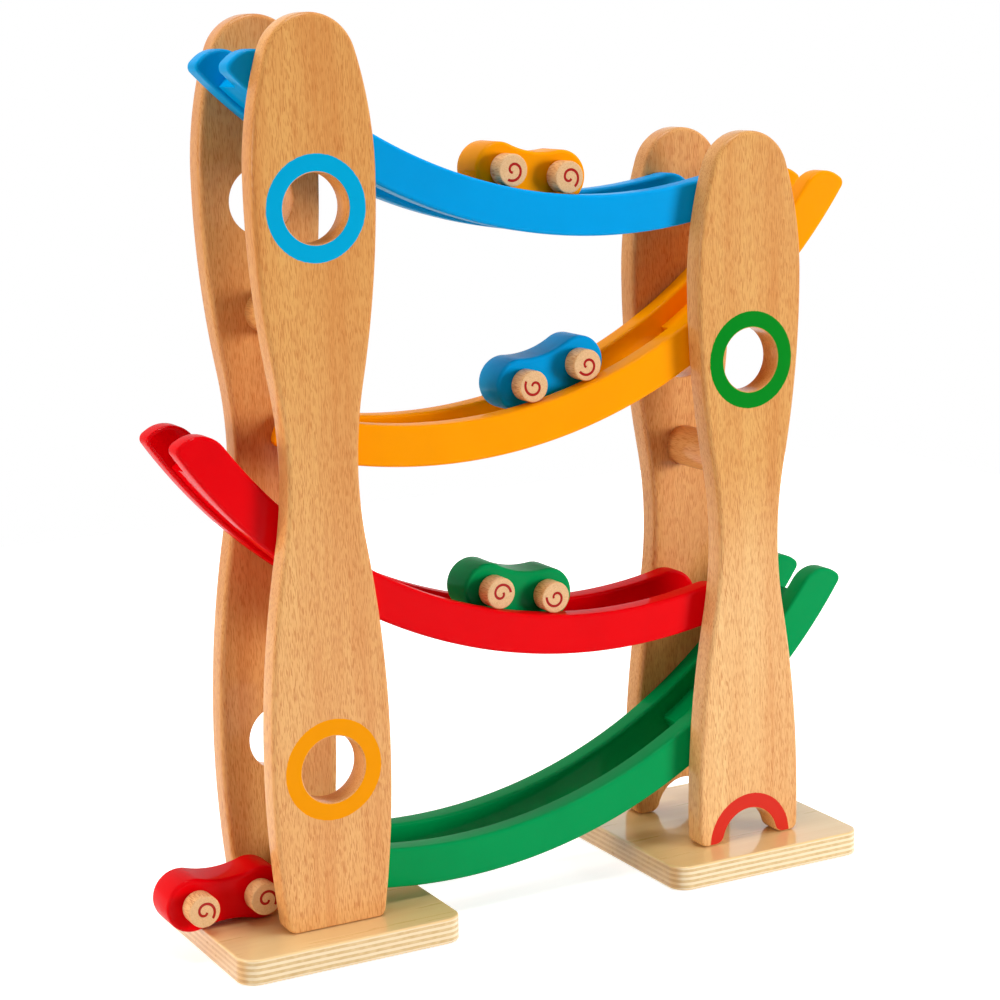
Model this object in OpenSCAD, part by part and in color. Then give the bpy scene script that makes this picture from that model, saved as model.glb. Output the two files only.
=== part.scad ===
// Wooden ramp racer: two towers on plywood bases, four curved ramps of two rails each, and four
// little cars whose wheels run on the rails. Millimetres, +Z up, the front towards -Y, the origin
// on the floor under the middle of the left tower.

/* [Bases] */
// Width of each base, along the ramps
base_w = 110; // [90:1:150]
// Depth of each base, front to back
base_d = 110; // [96:1:160]
// Thickness of the plywood
base_t = 12; // [8:0.5:18]
// Radius of a base's upright corners
base_corner_r = 9; // [3:0.5:20]
// Rounding along a base's edges
base_ease = 1; // [0.5:0.1:1.5]
// Distance between the two towers' axes
tower_spacing = 226; // [205:1:240]

/* [Towers] */
// Height of the left tower's sides
left_panel_h = 408; // [400:1:430]
// Height of the right tower's sides
right_panel_h = 350; // [344:1:370]
// Thickness of a tower side
panel_t = 12.5; // [10:0.5:16]
// Clear space between the two sides of a tower
tower_gap = 47; // [45:0.5:56]
// Width of a side at its shoulder and at its hip
belly_w = 59; // [55:0.5:66]
// Width of a side at its waist
waist_w = 34.5; // [30:0.5:40]
// Depth of the shoulder below the top
head_h = 70; // [62:1:80]
// Depth of the waist below the top
waist_drop = 198; // [185:1:210]
// Depth of the hip below the top
hip_drop = 332; // [318:1:342]
// Radius of the rounded top
crown_r = 22; // [14:0.5:23]
// Radius of the hollow at the waist
waist_r = 200; // [140:5:260]
// Radius of a side's lower corners
foot_r = 4.5; // [4:0.5:7]
// Rounding along a side's edges
panel_ease = 2.4; // [1:0.1:3.5]

/* [Holes and dowels] */
// Diameter of the round holes
hole_d = 31; // [24:0.5:34]
// Depth of the left tower's upper hole below the top
left_upper_hole_drop = 83; // [78:1:90]
// Depth of the left tower's lower hole below the top
left_lower_hole_drop = 334; // [315:1:340]
// Depth of the right tower's hole below the top
right_hole_drop = 109; // [106:1:118]
// Diameter of the arch between the right tower's feet
arch_d = 31; // [20:0.5:32]
// Radius of the feet's corners beside the arch
arch_corner_r = 5.5; // [3:0.5:6]
// Diameter of the dowel between two sides
dowel_d = 20; // [12:0.5:24]
// Depth of the left dowel below the top
left_dowel_drop = 133; // [126:1:140]
// Depth of the right dowel below the top
right_dowel_drop = 159; // [150:1:166]
// Depth of a dowel's seat in a side
dowel_seat = 6; // [3:0.5:8]

/* [Ramps] */
// Radius of the running edge
run_r = 247.5; // [238:0.5:265]
// Depth of a rail below its running edge
rail_depth = 19; // [18.5:0.5:22]
// Thickness of a rail
rail_t = 11; // [9:0.5:12]
// Rounding along a rail's edges
rail_ease = 1.6; // [0.5:0.1:3]
// Height of the lowest ramp's running edge above the base, at its lowest point
first_run_h = 24; // [22:0.5:28]
// Height from one ramp to the next
ramp_pitch = 99.6; // [97:0.2:101]
// Distance from a ramp's lowest point to the tower at its lower end
low_point_dx = 69; // [60:0.5:76]
// Distance of a rail's lower end short of the tower's axis
low_end_short = 1.6; // [0:0.1:3]
// Distance of a rail's upper end past the tower's axis
high_end_out = 57; // [45:0.5:62]
// Distance of the top ramp's upper end past the tower's axis
top_end_out = 28; // [24:0.5:36]
// Radius of a rail end's upper corner
end_top_r = 14; // [6:0.5:14]
// Radius of a rail end's lower corner
end_bottom_r = 3.5; // [2:0.5:4]
// Thickness of the strip between two rails
strip_t = 8; // [5:0.5:8.5]
// Depth of the strip's top below the running edge
strip_drop = 9; // [8:0.5:9.5]
// Distance of the strip's near end inside the tower's axis
strip_in = 20; // [10:0.5:28]
// Distance of the strip's far end from the rails' upper ends
strip_setback = 10; // [6:0.5:14]
// Diameter of the pegs between rails and sides
peg_d = 6; // [4:0.5:7]
// Depth of a peg in the rail and in the side
peg_seat = 7; // [4:0.5:8]
// Distance of a lower end's peg from the tower's axis
peg_dx = 10; // [9:0.5:11]

/* [Cars] */
// Diameter of a wheel
wheel_d = 15; // [13:0.5:17]
// Length of a wheel
wheel_len = 9; // [8:0.5:11]
// Rounding of a wheel's rims
wheel_ease = 0.8; // [0.3:0.1:1.5]
// Distance between a car's two axles
wheelbase = 30; // [26:0.5:32]
// Radius of a car body's two lobes
lobe_r = 12.5; // [11:0.5:14]
// Distance between the lobes' centres
lobe_spacing = 33.5; // [30:0.5:36]
// Height of a car body at its waist
car_waist_h = 19.8; // [16:0.2:21]
// Width of a car body
body_w = 20; // [16:0.5:21.5]
// Rounding along the edges of a car body
body_ease = 1.8; // [1:0.1:3]
// Diameter of an axle
axle_d = 4; // [3:0.1:6]
// Depth of an axle in its wheel
axle_seat = 6; // [4:0.5:7]
// Place of the yellow car, in degrees from the top ramp's lowest point towards its upper end
yellow_car_deg = 8.6; // [0:0.1:12]
// Place of the blue car, in degrees from the second ramp's lowest point towards its upper end
blue_car_deg = 14.8; // [0:0.1:20]
// Place of the green car, in degrees from the third ramp's lowest point towards its upper end
green_car_deg = 11.1; // [0:0.1:16]
// Distance of the red car's middle outside the left tower's axis
red_car_out = 43; // [40:0.5:44]

/* [Screws] */
// Diameter of a screw's shank
screw_d = 4; // [3:0.1:5]
// Diameter of a screw's head
screw_head_d = 8; // [7:0.1:9]
// Depth of a screw's head below the underside of the base
screw_recess = 0.4; // [0.2:0.1:1]
// Length of the cross slot in a screw's head
drive_l = 4.4; // [3:0.1:4.6]
// Width of the cross slot
drive_w = 1.2; // [0.8:0.1:1.6]
// Depth of the cross slot
drive_depth = 1.5; // [0.8:0.1:1.6]
// Length of a screw in the tower side
screw_grip = 20; // [12:1:24]
// Distance of the left tower's screws from its axis
left_screw_dx = 17; // [16.5:0.5:18]
// Distance of the right tower's screws from its axis, in the feet
right_screw_dx = 21.5; // [21:0.5:22]

/* [Clearances] */
// Gap around a glued peg, dowel or axle end
glue_gap = 0.05; // [0.02:0.01:0.1]
// Gap around an axle in its car body
running_gap = 0.06; // [0.02:0.01:0.1]
// Gap around a screw
screw_gap = 0.1; // [0.05:0.01:0.2]
// Gap between a wheel and the body beside it
side_gap = 0.4; // [0.2:0.1:0.8]
// Gap between a wheel or a car's belly and what it stands on
roll_gap = 0.25; // [0.15:0.05:0.4]

/* [Hidden] */
TOWERS = ["left", "right"];
SIDES = ["front", "back"];
RAMPS = ["green", "red", "yellow", "blue"];
CARS = ["red", "green", "blue", "yellow"];
AXLES = ["front_axle", "rear_axle"];
WHEELS = ["front_left_wheel", "front_right_wheel", "rear_left_wheel", "rear_right_wheel"];

beech = "burlywood";
plywood = "wheat";
steel = "silver";
paints = [["green", "seagreen"], ["red", "crimson"], ["yellow", "orange"], ["blue", "deepskyblue"]];

ramp_fn = 240;
round_fn = 64;
rail_ease_fn = 24;
end_steps = 10;
ease_steps = 2;
past = 1; // how far a cutter reaches past the face it cuts

rail_r = run_r + rail_depth;
rail_mid_r = run_r + rail_depth / 2;
rail_gap = tower_gap - 2 * rail_t;
inner_y = tower_gap / 2;
panel_mid_y = inner_y + panel_t / 2;
far_dx = tower_spacing - low_point_dx;
wheel_r = wheel_d / 2;
axle_r = axle_d / 2;
wheel_y = body_w / 2 + side_gap;
axle_run_r = run_r - wheel_r - roll_gap;
car_run_r = sqrt(pow(axle_run_r, 2) - pow(wheelbase / 2, 2));
screw_r = screw_d / 2;
screw_head_r = screw_head_d / 2;

function paint_of(name) = [for (pair = paints) if (pair[0] == name) pair[1]][0];
function tower_x(tower) = tower == "left" ? 0 : tower_spacing;
function tower_h(tower) = tower == "left" ? left_panel_h : right_panel_h;
function side_sign(side) = side == "front" ? -1 : 1;

// Ramps count from the lowest, and their upper ends lie to the right (1) and to the left (-1) in turn
function level(ramp) = search([ramp], RAMPS)[0];
function high_side(ramp) = level(ramp) % 2 == 0 ? 1 : -1;
function ramp_x(ramp) = high_side(ramp) > 0 ? low_point_dx : tower_spacing - low_point_dx;
function ramp_z(ramp) = base_t + first_run_h + level(ramp) * ramp_pitch + run_r;
// Angle from a ramp's lowest point to a point of its middle line this far off in X
function deg_at(dx) = asin(dx / rail_mid_r);
function high_dx(ramp) = far_dx + (ramp == "blue" ? top_end_out : high_end_out);
low_end_deg = deg_at(low_point_dx - low_end_short);
function high_end_deg(ramp) = deg_at(high_dx(ramp));
// A ramp's peg in this tower, as an angle from its lowest point towards its upper end
function is_low_tower(ramp, tower) = (tower == "left") == (high_side(ramp) > 0);
function peg_deg(ramp, tower) = is_low_tower(ramp, tower) ? -deg_at(low_point_dx - peg_dx) : deg_at(far_dx);

// Each car's ramp, where it has one, and the way its front points along X
function car_ramp(car) =
    car == "yellow" ? "blue" : car == "blue" ? "yellow" : car == "green" ? "red" : undef;
function car_deg(car) = car == "yellow" ? yellow_car_deg : car == "blue" ? blue_car_deg : green_car_deg;
function front_way(car) = car == "red" ? -1 : -high_side(car_ramp(car));

// Points of an arc in n steps
function arc(centre, r, from, to, n) = [
    for (i = [0:n]) let (a = from + (to - from) * i / n) centre + r * [cos(a), sin(a)]
];
function reversed(points) = [for (i = [len(points) - 1:-1:0]) points[i]];
// The same outline without points that fall on the one before
function distinct(points) = [
    for (i = [0:len(points) - 1]) if (norm(points[i] - points[(i + 1) % len(points)]) > 0.01) points[i]
];
// Sum of the radii of two arcs that run into each other over this height and this step in width
function radii_sum(height, step) = (pow(height, 2) + pow(step, 2)) / (2 * step);

// Outline of a tower side about the middle of its foot: crown, flank, shoulder, waist, hip and corner
// arcs down the right edge, each running into the next, and the same up the left edge
function panel_outline(h) =
    let (
        belly = belly_w / 2,
        waist = waist_w / 2,
        rise = head_h - crown_r,
        flank_r = (pow(belly, 2) + pow(rise, 2) - pow(crown_r, 2)) / (2 * (belly - crown_r)),
        crown_deg = atan2(rise, flank_r - belly),
        upper_h = waist_drop - head_h,
        lower_h = hip_drop - waist_drop,
        shoulder_r = radii_sum(upper_h, belly - waist) - waist_r,
        hip_r = radii_sum(lower_h, belly - waist) - waist_r,
        shoulder_deg = asin(upper_h / (shoulder_r + waist_r)),
        hip_deg = asin(lower_h / (hip_r + waist_r)),
        hip = [belly - hip_r, h - hip_drop],
        corner = [hip[0] + sqrt(pow(hip_r - foot_r, 2) - pow(foot_r - hip[1], 2)), foot_r],
        corner_deg = atan2(foot_r - hip[1], corner[0] - hip[0]),
        right = concat(
            arc([0, h - crown_r], crown_r, 90, crown_deg, 12),
            arc([belly - flank_r, h - head_h], flank_r, crown_deg, 0, 8),
            arc([belly - shoulder_r, h - head_h], shoulder_r, 0, -shoulder_deg, 8),
            arc([waist + waist_r, h - waist_drop], waist_r, 180 - shoulder_deg, 180 + hip_deg, 14),
            arc(hip, hip_r, hip_deg, corner_deg, 11),
            arc(corner, foot_r, corner_deg, -90, 6)
        )
    )
    distinct(concat([for (p = right) [-p[0], p[1]]], reversed(right)));

// Outline of a car body about the middle between its axles: two lobes and the two hollows between them
function car_outline() =
    let (
        reach = lobe_spacing / 2,
        waist = car_waist_h / 2,
        hollow_r = (pow(reach, 2) + pow(waist, 2) - pow(lobe_r, 2)) / (2 * (lobe_r - waist)),
        lobe_deg = atan2(waist + hollow_r, -reach),
        upper = concat(
            arc([reach, 0], lobe_r, 0, lobe_deg, 10),
            arc([0, waist + hollow_r], hollow_r, lobe_deg - 180, -lobe_deg, 6),
            arc([-reach, 0], lobe_r, 180 - lobe_deg, 180, 10)
        )
    )
    distinct(concat(upper, [for (p = reversed(upper)) [p[0], -p[1]]]));

// Outline of a plate about its middle, with rounded corners, from the middle of one corner
function plate_outline(w, d, r) =
    let (x = w / 2 - r, y = d / 2 - r)
    distinct(concat(
        arc([x, y], r, 45, 90, 4),
        arc([-x, y], r, 90, 180, 8),
        arc([-x, -y], r, 180, 270, 8),
        arc([x, -y], r, 270, 360, 8),
        arc([x, y], r, 0, 45, 4)
    ));

// Outline of the arch between two feet about its middle, open downwards, with the feet's corners rounded
function arch_outline() =
    let (
        r = arch_d / 2,
        reach = sqrt(pow(r + arch_corner_r, 2) - pow(arch_corner_r, 2)),
        deg = asin(arch_corner_r / (r + arch_corner_r)),
        half = concat(
            [[reach, -past]],
            arc([reach, arch_corner_r], arch_corner_r, 270, 180 + deg, 8),
            arc([0, 0], r, deg, 90, 16)
        )
    )
    distinct(concat(half, [for (p = reversed(half)) [-p[0], p[1]]]));

// Each point of a counter-clockwise outline moved inwards by this much
function inset(points, by) =
    let (n = len(points))
    [for (i = [0:n - 1])
        let (along = points[(i + 1) % n] - points[(i + n - 1) % n])
        points[i] + by / norm(along) * [-along[1], along[0]]];

// A piece sawn to an outline in the X-Z plane, from y to y + t, with its edges rounded by ease. The
// outline starts on its line of symmetry, and rungs from one half to the other fill the two flat faces.
module sawn(outline, y, t, ease) {
    n = len(outline);
    turns = [for (i = [0:ease_steps]) 90 * i / ease_steps];
    near = [for (a = turns) [ease * (1 - sin(a)), ease * (1 - cos(a))]];
    rings = concat(near, [for (ring = reversed(near)) [ring[0], t - ring[1]]]);
    last = len(rings) - 1;
    top = last * n;
    points = [for (ring = rings, p = inset(outline, ring[0])) [p[0], y + ring[1], p[1]]];
    sides = [
        for (k = [0:last - 1], i = [0:n - 1])
            let (a = k * n + i, b = k * n + (i + 1) % n)
            each [[a, a + n, b], [b, a + n, b + n]]
    ];
    rungs = [
        for (i = [0:floor(n / 2) - 1])
            let (a = i, b = i + 1, c = n - i - 1, d = (n - i) % n)
            each concat(
                b == c ? [] : [[a, b, c], [top + c, top + b, top + a]],
                i == 0 ? [] : [[a, c, d], [top + d, top + c, top + a]]
            )
    ];
    polyhedron(points, concat(sides, rungs), convexity = 6);
}

// A bar or a bore along Y at this place in X and Z
module round_y(place, r, y, t) {
    translate([place[0], y + t, place[1]]) rotate([90, 0, 0]) cylinder(r = r, h = t, $fn = round_fn);
}

// A bar or a bore that runs from a tower side's inner face outwards (out) and inwards (in)
module from_inner_face(side, place, r, out, in) {
    low = side == "front" ? -inner_y - out : inner_y - in;
    round_y(place, r, low, out + in);
}

// A screw standing on its head, or with a gap the hole for it
module screw_shape(gap, tip) {
    head_h = screw_head_r - screw_r;
    grip_top = base_t + screw_grip;
    low = gap > 0 ? -past : screw_recess;
    rotate_extrude($fn = round_fn) polygon([
        [0, low], [screw_head_r + gap, low], [screw_head_r + gap, screw_recess],
        [screw_r + gap, screw_recess + head_h], [screw_r + gap, grip_top - tip], [0, grip_top + gap]
    ]);
}

module at_screws(tower) {
    dx = tower == "left" ? left_screw_dx : right_screw_dx;
    for (x = [-dx, dx], side = SIDES)
        translate([tower_x(tower) + x, side_sign(side) * panel_mid_y, 0]) children();
}

module base(tower) {
    color(plywood) difference() {
        translate([tower_x(tower), 0, 0]) rotate([-90, 0, 0])
            sawn(plate_outline(base_w, base_d, base_corner_r), -base_t, base_t, base_ease);
        at_screws(tower) screw_shape(screw_gap, screw_d);
    }
}

module base_screws(tower) {
    color(steel) at_screws(tower) difference() {
        screw_shape(0, screw_d);
        for (a = [0, 90]) rotate([0, 0, a]) translate([-drive_l / 2, -drive_w / 2, screw_recess - past])
            cube([drive_l, drive_w, drive_depth + past]);
    }
}

module panel(tower, side) {
    h = tower_h(tower);
    x = tower_x(tower);
    top = base_t + h;
    y = side == "front" ? -inner_y - panel_t : inner_y;
    holes = tower == "left" ? [left_upper_hole_drop, left_lower_hole_drop] : [right_hole_drop];
    dowel_drop = tower == "left" ? left_dowel_drop : right_dowel_drop;
    color(beech) difference() {
        translate([x, 0, base_t]) sawn(panel_outline(h), y, panel_t, panel_ease);
        for (drop = holes) round_y([x, top - drop], hole_d / 2, y - past, panel_t + 2 * past);
        if (tower == "right") translate([x, y + panel_t + past, base_t]) rotate([90, 0, 0])
            linear_extrude(panel_t + 2 * past) polygon(arch_outline());
        from_inner_face(side, [x, top - dowel_drop], dowel_d / 2 + glue_gap, dowel_seat + glue_gap, past);
        at_pegs(tower) from_inner_face(side, [0, 0], peg_d / 2 + glue_gap, peg_seat + glue_gap, past);
        at_screws(tower) screw_shape(screw_gap, screw_d);
    }
}

module dowel(tower) {
    h = tower_h(tower);
    drop = tower == "left" ? left_dowel_drop : right_dowel_drop;
    reach = inner_y + dowel_seat;
    color(beech) round_y([tower_x(tower), base_t + h - drop], dowel_d / 2, -reach, 2 * reach);
}

module at_pegs(tower) {
    for (ramp = RAMPS) at_peg(ramp, tower) children();
}

module at_peg(ramp, tower) {
    deg = peg_deg(ramp, tower);
    x = ramp_x(ramp) + high_side(ramp) * rail_mid_r * sin(deg);
    translate([x, 0, ramp_z(ramp) - rail_mid_r * cos(deg)]) children();
}

module rail_pegs(tower, side) {
    color(beech) at_pegs(tower) from_inner_face(side, [0, 0], peg_d / 2, peg_seat, peg_seat);
}

// Draws flat shapes about a ramp's centre, upper end towards +x, into its place from y to y + t
module on_ramp(ramp, y, t) {
    translate([ramp_x(ramp), y + t, ramp_z(ramp)]) rotate([90, 0, 0]) linear_extrude(t)
        mirror([high_side(ramp) > 0 ? 0 : 1, 0]) children();
}

// Part of a ring between two radii and two angles from straight down
module band(r0, r1, from, to) {
    reach = 2 * rail_r;
    intersection() {
        difference() {
            circle(r1, $fn = ramp_fn);
            circle(r0, $fn = ramp_fn);
        }
        polygon(concat([[0, 0]], arc([0, 0], reach, from - 90, to - 90, 4)));
    }
}

// A point this far from a ramp's centre, at an angle from straight down
function at_deg(r, deg) = r * [sin(deg), -cos(deg)];

// How a rail's end is cut: from above the run round its upper and lower corners to below the underside
function end_cut(end) =
    let (
        top_c = run_r + end_top_r,
        low_c = rail_r - end_bottom_r,
        top_deg = end - asin(end_top_r / top_c),
        low_deg = end - asin(end_bottom_r / low_c)
    )
    concat(
        [at_deg(run_r - past, top_deg)],
        arc(at_deg(top_c, top_deg), end_top_r, top_deg + 90, end, end_steps),
        arc(at_deg(low_c, low_deg), end_bottom_r, end, low_deg - 90, end_steps),
        [at_deg(rail_r + 2 * past, low_deg)]
    );

// Outline that cuts a rail out of its ring, clear of the ring between the two ends
function rail_cut(high, low) =
    concat(
        arc([0, 0], run_r - 2 * past, -90 - low * 0.7, -90 + high * 0.7, 16),
        end_cut(high),
        arc([0, 0], rail_r + 2 * past, -90 + high * 0.9, -90 - low * 0.9, 16),
        [for (p = reversed(end_cut(low))) [-p[0], p[1]]]
    );

// The ring that a ramp's rail is cut from, its four edges rounded, from y to y + rail_t
module rail_ring(ramp, y) {
    translate([ramp_x(ramp), y + rail_t, ramp_z(ramp)]) rotate([90, 0, 0]) rotate_extrude($fn = ramp_fn) {
        translate([run_r + rail_ease, 0]) square([rail_depth - 2 * rail_ease, rail_t]);
        translate([run_r, rail_ease]) square([rail_depth, rail_t - 2 * rail_ease]);
        for (r = [run_r + rail_ease, rail_r - rail_ease], z = [rail_ease, rail_t - rail_ease])
            translate([r, z]) circle(rail_ease, $fn = rail_ease_fn);
    }
}

module rail(ramp, side) {
    y = side == "front" ? -inner_y : inner_y - rail_t;
    color(paint_of(ramp)) difference() {
        intersection() {
            rail_ring(ramp, y);
            on_ramp(ramp, y - past, rail_t + 2 * past) polygon(rail_cut(high_end_deg(ramp), low_end_deg));
        }
        for (tower = TOWERS) at_peg(ramp, tower)
            from_inner_face(side, [0, 0], peg_d / 2 + glue_gap, past, peg_seat + glue_gap);
    }
}

module strip(ramp) {
    top_r = run_r + strip_drop;
    near_deg = deg_at(far_dx - strip_in);
    far_deg = deg_at(high_dx(ramp) - strip_setback);
    color(paint_of(ramp)) on_ramp(ramp, -rail_gap / 2, rail_gap)
        band(top_r, top_r + strip_t, near_deg, far_deg);
}

// Puts what is drawn about the middle between a car's axles into the car's place
module on_car(car) {
    ramp = car_ramp(car);
    if (is_undef(ramp))
        translate([-red_car_out, 0, base_t + roll_gap + lobe_r]) children();
    else
        translate([ramp_x(ramp), 0, ramp_z(ramp)]) rotate([0, -high_side(ramp) * car_deg(car), 0])
            translate([0, 0, -car_run_r]) children();
}

module car_body(car) {
    color(paint_of(car)) on_car(car) difference() {
        sawn(car_outline(), -body_w / 2, body_w, body_ease);
        for (x = [-1, 1])
            round_y([x * wheelbase / 2, 0], axle_r + running_gap, -body_w / 2 - past, body_w + 2 * past);
    }
}

module car_axle(car, axle) {
    x = (axle == "front_axle" ? 1 : -1) * front_way(car) * wheelbase / 2;
    reach = wheel_y + axle_seat;
    color(steel) on_car(car) round_y([x, 0], axle_r, -reach, 2 * reach);
}

// A wheel on its inner face, rims rounded, with a blind bore for the axle
module wheel_shape() {
    difference() {
        rotate_extrude($fn = round_fn) {
            square([wheel_r - wheel_ease, wheel_len]);
            translate([0, wheel_ease]) square([wheel_r, wheel_len - 2 * wheel_ease]);
            for (z = [wheel_ease, wheel_len - wheel_ease]) intersection() {
                translate([wheel_r - wheel_ease, z]) circle(wheel_ease, $fn = round_fn);
                square([wheel_r, wheel_len]);
            }
        }
        translate([0, 0, -past])
            cylinder(r = axle_r + glue_gap, h = axle_seat + glue_gap + past, $fn = round_fn);
    }
}

module car_wheel(car, wheel) {
    at_front = wheel == WHEELS[0] || wheel == WHEELS[1];
    at_left = wheel == WHEELS[0] || wheel == WHEELS[2];
    x = (at_front ? 1 : -1) * front_way(car) * wheelbase / 2;
    way_y = (at_left ? 1 : -1) * front_way(car);
    color(beech) on_car(car) translate([x, way_y * wheel_y, 0]) rotate([-90 * way_y, 0, 0]) wheel_shape();
}

for (tower = TOWERS) {
    base(tower);
    base_screws(tower);
    dowel(tower);
    for (side = SIDES) {
        panel(tower, side);
        rail_pegs(tower, side);
    }
}
for (ramp = RAMPS) {
    strip(ramp);
    for (side = SIDES)
        rail(ramp, side);
}
for (car = CARS) {
    car_body(car);
    for (axle = AXLES)
        car_axle(car, axle);
    for (wheel = WHEELS)
        car_wheel(car, wheel);
}
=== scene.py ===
"""Dresses the wooden ramp racer: beech towers on plywood bases, four painted ramps and four cars."""
from math import asin, atan2, cos, degrees, pi, radians, sin, sqrt

import bpy
import numpy as np
from mathutils import Matrix, Vector
from mathutils.geometry import delaunay_2d_cdt


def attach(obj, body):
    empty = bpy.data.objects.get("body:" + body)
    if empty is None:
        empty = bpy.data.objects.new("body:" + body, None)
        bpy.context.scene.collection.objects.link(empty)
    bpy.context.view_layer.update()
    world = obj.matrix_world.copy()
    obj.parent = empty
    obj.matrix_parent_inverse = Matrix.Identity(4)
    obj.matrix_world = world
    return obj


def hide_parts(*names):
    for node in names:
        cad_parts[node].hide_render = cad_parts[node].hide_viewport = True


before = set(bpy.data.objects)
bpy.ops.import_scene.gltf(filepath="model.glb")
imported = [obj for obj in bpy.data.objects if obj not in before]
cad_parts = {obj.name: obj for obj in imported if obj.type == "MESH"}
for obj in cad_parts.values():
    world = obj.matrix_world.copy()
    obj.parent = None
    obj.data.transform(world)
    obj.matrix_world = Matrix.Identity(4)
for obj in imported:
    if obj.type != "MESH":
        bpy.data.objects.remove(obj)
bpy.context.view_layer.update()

# Sizes of the toy in millimetres, the same as the solids have.
MM = 0.001
TOWER_X = {"left": 0.0, "right": 226.0}
PANEL_H = {"left": 408.0, "right": 350.0}
BASE_SIDE, BASE_T, BASE_CORNER_R, BASE_EASE = 110.0, 12.0, 9.0, 1.0
PANEL_T, INNER_Y, PANEL_EASE, HOLE_EASE = 12.5, 23.5, 2.4, 0.8
BELLY, WAIST, HEAD_H, WAIST_DROP, HIP_DROP = 29.5, 17.25, 70.0, 198.0, 332.0
CROWN_R, WAIST_R, FOOT_R = 22.0, 200.0, 4.5
HOLE_R, ARCH_R, ARCH_CORNER_R, BAND_W = 15.5, 15.5, 5.5, 8.0
HOLE_DROPS = {"left": (83.0, 334.0), "right": (109.0,)}
DOWEL_R, DOWEL_SEAT, DOWEL_EASE = 10.0, 6.0, 0.8
DOWEL_DROP = {"left": 133.0, "right": 159.0}
SCREW_DX = {"left": 17.0, "right": 21.5}
SCREW_R, SCREW_HEAD_R, SCREW_RECESS, SCREW_GAP = 2.0, 4.0, 0.4, 0.1

RAMPS = ("green", "red", "yellow", "blue")
RUN_R, RAIL_DEPTH, RAIL_T, RAIL_EASE = 247.5, 19.0, 11.0, 1.6
FIRST_RUN_Z, RAMP_PITCH, LOW_POINT_DX = 36.0, 99.6, 69.0
LOW_END_SHORT, HIGH_END_OUT, TOP_END_OUT = 1.6, 57.0, 28.0
END_TOP_R, END_BOTTOM_R = 14.0, 3.5
STRIP_T, STRIP_DROP, STRIP_IN, STRIP_SETBACK, STRIP_EASE = 8.0, 9.0, 20.0, 10.0, 0.6
RAIL_R = RUN_R + RAIL_DEPTH
RAIL_MID_R = RUN_R + RAIL_DEPTH / 2
FAR_DX = TOWER_X["right"] - LOW_POINT_DX

CAR_RAMP = {"yellow": "blue", "blue": "yellow", "green": "red"}
CAR_DEG = {"yellow": 8.6, "blue": 14.8, "green": 11.1}
RED_CAR_X, ROLL_GAP = -43.0, 0.25
WHEEL_R, WHEEL_LEN, WHEEL_EASE, WHEELBASE = 7.5, 9.0, 0.8, 30.0
LOBE_R, LOBE_REACH, CAR_WAIST, BODY_W, BODY_EASE, AXLE_BORE_EASE = 12.5, 16.75, 9.9, 20.0, 1.8, 0.3
AXLE_R, AXLE_SEAT, SIDE_GAP, RUNNING_GAP, GLUE_GAP = 2.0, 6.0, 0.4, 0.06, 0.05
CAR_RUN_R = sqrt((RUN_R - WHEEL_R - ROLL_GAP) ** 2 - (WHEELBASE / 2) ** 2)

QUARTER = 6  # steps round a rounded edge
FLAT = 0.35  # width of the flat margin inside a rounded edge
CLOSEST = 0.01  # points nearer than this are one point
TINY = 1e-6  # lengths below this count as 0
BORE_STEP = 7.5  # degrees between the points round a bore
LATHE_STEPS = 56  # points round a turned piece
POLE_R = 0.02  # radius of the pinhole left in the middle of a turned end
BORE_MARGIN = 0.4  # least width of the flat ring round a wheel's bore
SHARP_DEG = 35.0  # edges that turn by more than this look sharp


def arc(centre, r, start, end, n):
    """Points centre + r (cos a, sin a) for n + 1 angles from start to end, in degrees."""
    a = np.radians(np.linspace(start, end, n + 1))
    return np.asarray(centre) + r * np.stack([np.cos(a), np.sin(a)], 1)


def distinct(points):
    """The closed outline without points that fall on the next one."""
    step = np.linalg.norm(points - np.roll(points, -1, 0), axis=1)
    return points[step > CLOSEST]


def ring_faces(rings, count, start=0, inward=False):
    """Quads between neighbouring rings of count points each, for rings stacked along the third axis."""
    k, i = np.meshgrid(np.arange(rings - 1), np.arange(count), indexing="ij")
    a, b = k * count + i, k * count + (i + 1) % count
    quads = np.stack([a, b, b + count, a + count], -1).reshape(-1, 4) + start
    return quads[:, ::-1] if inward else quads


def rounded_edge(thick, ease):
    """Profile of a board's edge as (inset, depth): a flat margin, a quarter circle, the side, and the same again.
    The quarter circle is inset e (1 - sin t), depth e (1 - cos t) for t from 0 to 90 degrees."""
    t = np.linspace(0, pi / 2, QUARTER + 1)
    near = np.stack([ease * (1 - np.sin(t)), ease * (1 - np.cos(t))], 1)
    near = np.vstack([[ease + FLAT, 0.0], near])
    far = near[::-1] * [1, -1] + [0, thick]
    return np.vstack([near, far])


def inset(outline, by):
    """The counter-clockwise outline moved inwards along its normals, n = the turned difference of its neighbours."""
    along = np.roll(outline, -1, 0) - np.roll(outline, 1, 0)
    along /= np.linalg.norm(along, axis=1)[:, None]
    return outline + np.reshape(by, (-1, 1)) * np.stack([-along[:, 1], along[:, 0]], 1)


def bore_profile(r, thick, ease):
    """Profile of a hole's wall as (radius, depth), with its two rims rounded outwards."""
    edge = rounded_edge(thick, ease)
    return np.stack([r + edge[:, 0], edge[:, 1]], 1)


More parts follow.
